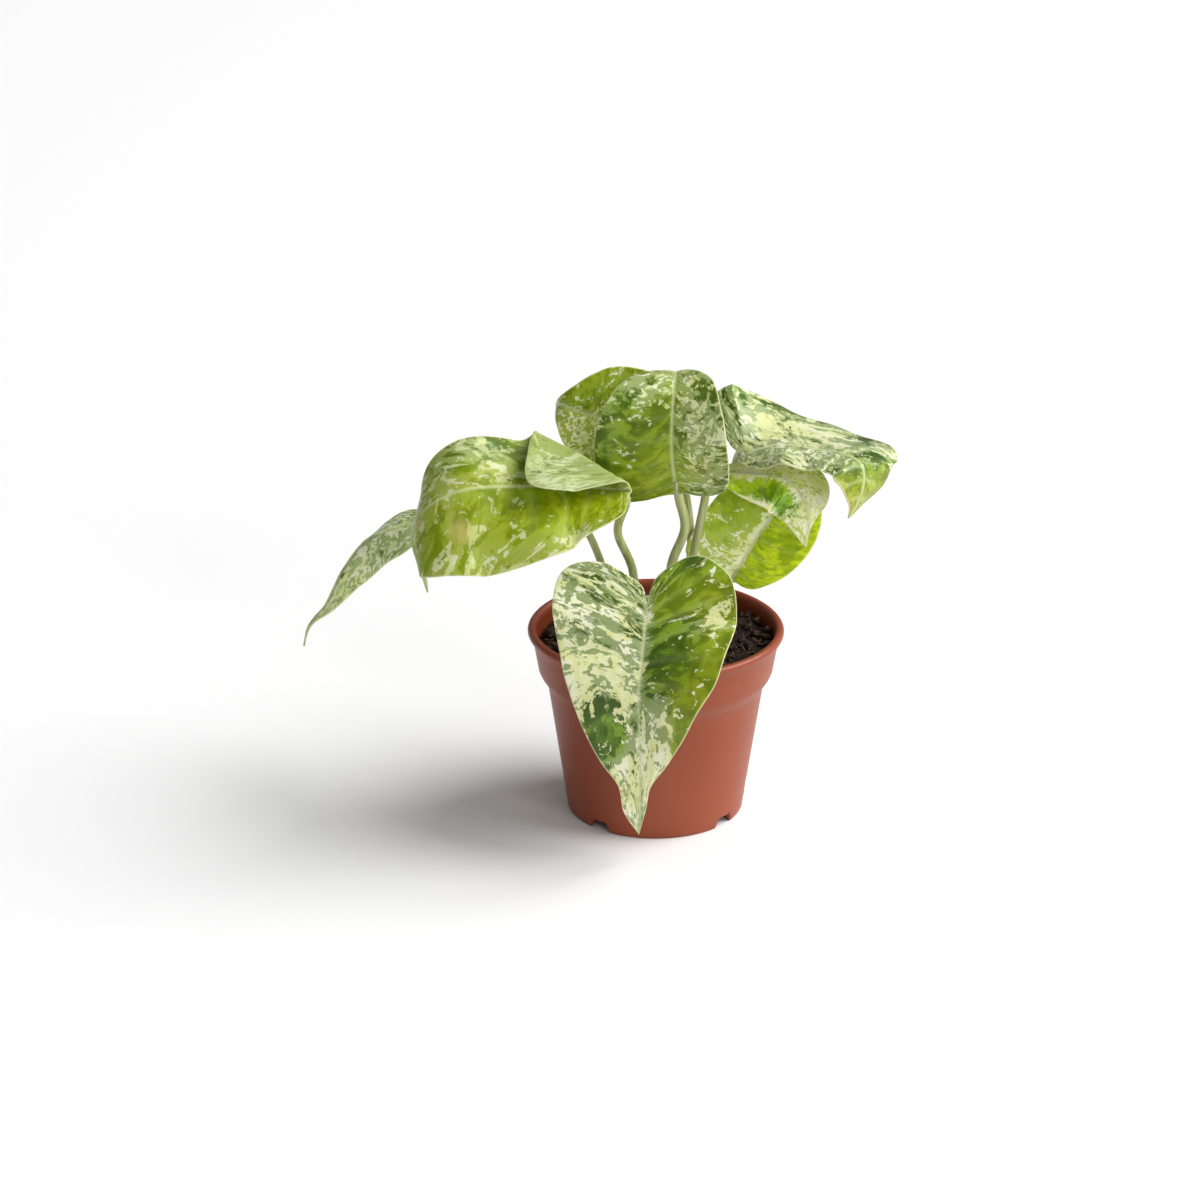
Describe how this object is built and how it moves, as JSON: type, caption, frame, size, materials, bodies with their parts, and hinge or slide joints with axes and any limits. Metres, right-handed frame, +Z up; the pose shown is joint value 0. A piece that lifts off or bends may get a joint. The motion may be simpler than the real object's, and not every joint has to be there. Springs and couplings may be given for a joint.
{
  "type": "potted marble queen pothos",
  "caption": "Young variegated pothos with waved heart-shaped leaves on bent stalks, standing in a small terracotta-coloured plastic nursery pot filled with dark soil.",
  "frame": {"origin": "on the ground, under the middle of the whole plant's bounding box", "axes": "+Z up, +Y away from the viewer of the picture, +X to the viewer's right, along the plant's longest spread"},
  "size_m": [0.1388, 0.074, 0.1047],
  "materials": {
    "pot_plastic": "satin",
    "soil": "matte",
    "leaf": "satin"
  },
  "bodies": {
    "root": {"pot": "pot_plastic", "soil": "soil", "leaf_front": "leaf", "leaf_left": "leaf", "leaf_far_left": "leaf", "leaf_back_left": "leaf", "leaf_centre": "leaf", "leaf_right": "leaf", "leaf_right_middle": "leaf", "leaf_right_low": "leaf"}
  },
  "joints": []
}
